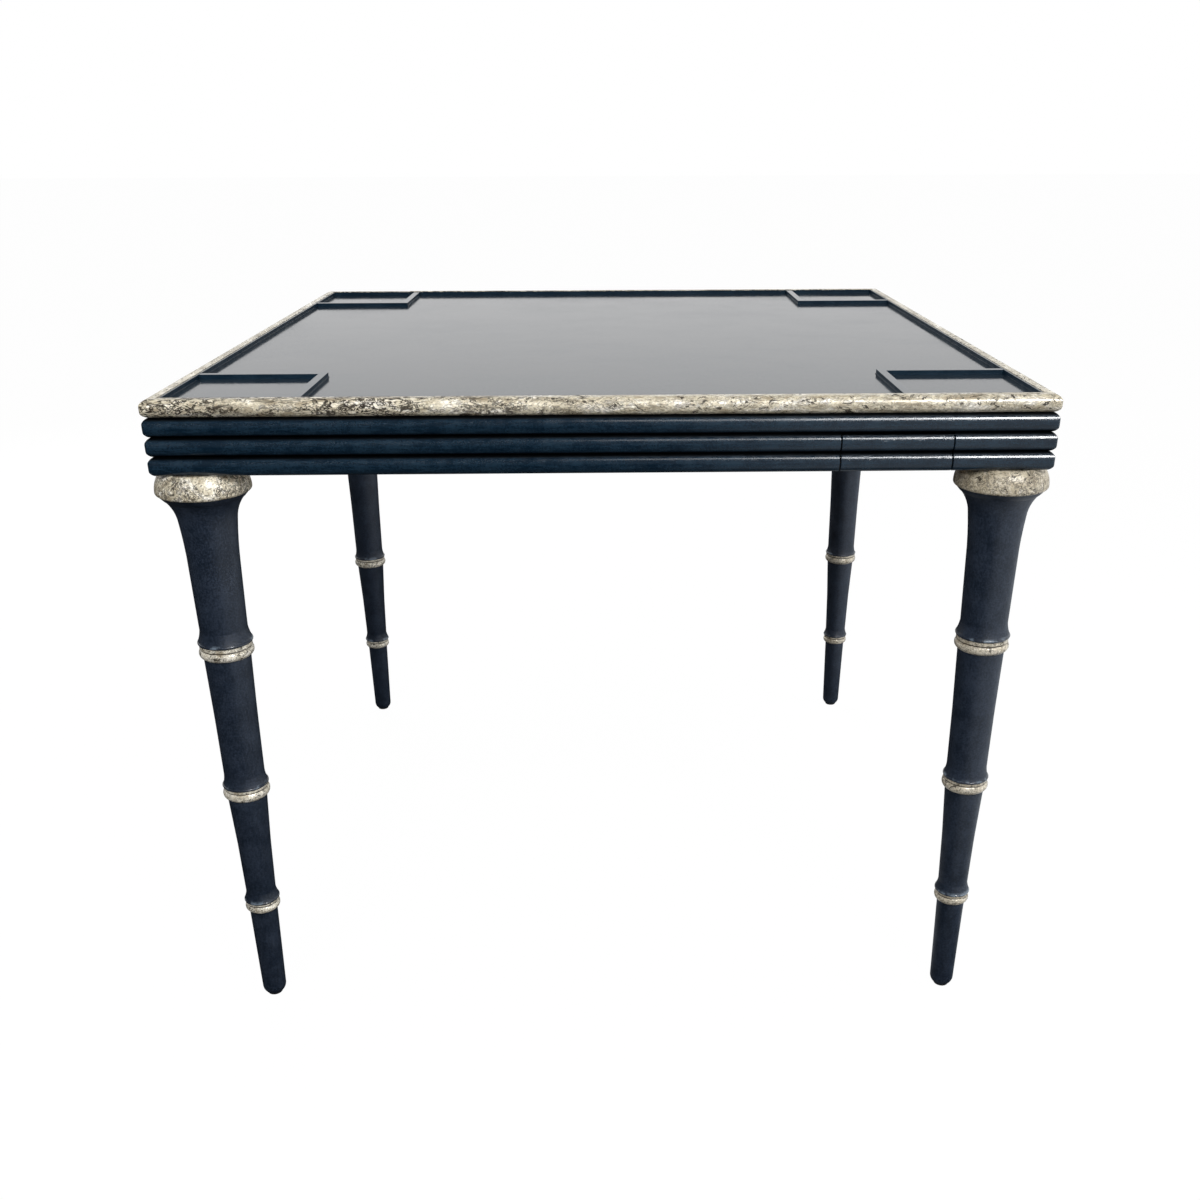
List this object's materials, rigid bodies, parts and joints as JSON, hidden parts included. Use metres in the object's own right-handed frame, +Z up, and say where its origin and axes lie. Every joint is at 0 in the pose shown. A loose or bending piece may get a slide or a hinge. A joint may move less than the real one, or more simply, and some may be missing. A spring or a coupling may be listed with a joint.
{
  "type": "games table",
  "caption": "Square games table with a recessed field, a tray in each corner, a small drawer in each reeded apron and turned, ringed legs under bun-shaped capitals.",
  "frame": {"origin": "on the floor, under the middle of the table", "axes": "+Z up, the front of the table faces -Y, +X to the right seen from the front"},
  "size_m": [0.9304, 0.9304, 0.74],
  "materials": {
    "field": "navy lacquer, polished, mirrors the room as grey at a low angle",
    "silver_leaf": "silver leaf over bole, distressed, satin",
    "navy": "navy lacquer, satin",
    "leg_finish": "navy lacquer with silver-leafed rings, satin",
    "raw_wood": "planed, unfinished",
    "drawer_wood": "planed, waxed",
    "steel": "zinc plated",
    "brass": "plain",
    "dark_glide": "matte"
  },
  "bodies": {
    "table": {"playing_panel": "field", "panel_cleats": "raw_wood", "panel_screws": "steel", "drawer_runners": "raw_wood", "hanger_bolts": "steel", "threaded_inserts": "brass", "foot_glides": "dark_glide", "edge_moulding_front": "silver_leaf", "lining_front": "navy", "rail_front": "navy", "apron_long_front": "navy", "apron_short_front": "navy", "edge_moulding_right": "silver_leaf", "lining_right": "navy", "rail_right": "navy", "apron_long_right": "navy", "apron_short_right": "navy", "edge_moulding_back": "silver_leaf", "lining_back": "navy", "rail_back": "navy", "apron_long_back": "navy", "apron_short_back": "navy", "edge_moulding_left": "silver_leaf", "lining_left": "navy", "rail_left": "navy", "apron_long_left": "navy", "apron_short_left": "navy", "tray_divider_front_right": "navy", "corner_block_front_right": "raw_wood", "leg_front_right": "leg_finish", "capital_front_right": "silver_leaf", "tray_divider_back_right": "navy", "corner_block_back_right": "raw_wood", "leg_back_right": "leg_finish", "capital_back_right": "silver_leaf", "tray_divider_back_left": "navy", "corner_block_back_left": "raw_wood", "leg_back_left": "leg_finish", "capital_back_left": "silver_leaf", "tray_divider_front_left": "navy", "corner_block_front_left": "raw_wood", "leg_front_left": "leg_finish", "capital_front_left": "silver_leaf"},
    "drawer_front": {"drawer_front_front": "navy", "drawer_sides_front": "drawer_wood", "drawer_back_front": "drawer_wood", "drawer_bottom_front": "drawer_wood"},
    "drawer_right": {"drawer_front_right": "navy", "drawer_sides_right": "drawer_wood", "drawer_back_right": "drawer_wood", "drawer_bottom_right": "drawer_wood"},
    "drawer_back": {"drawer_front_back": "navy", "drawer_sides_back": "drawer_wood", "drawer_back_back": "drawer_wood", "drawer_bottom_back": "drawer_wood"},
    "drawer_left": {"drawer_front_left": "navy", "drawer_sides_left": "drawer_wood", "drawer_back_left": "drawer_wood", "drawer_bottom_left": "drawer_wood"}
  },
  "joints": [
    {"name": "drawer_front_slide", "type": "slide", "parent": "table", "child": "drawer_front", "axis": [0, -1, 0], "range_m": [0, 0.15]},
    {"name": "drawer_right_slide", "type": "slide", "parent": "table", "child": "drawer_right", "axis": [1, 0, 0], "range_m": [0, 0.15]},
    {"name": "drawer_back_slide", "type": "slide", "parent": "table", "child": "drawer_back", "axis": [0, 1, 0], "range_m": [0, 0.15]},
    {"name": "drawer_left_slide", "type": "slide", "parent": "table", "child": "drawer_left", "axis": [-1, 0, 0], "range_m": [0, 0.15]}
  ]
}
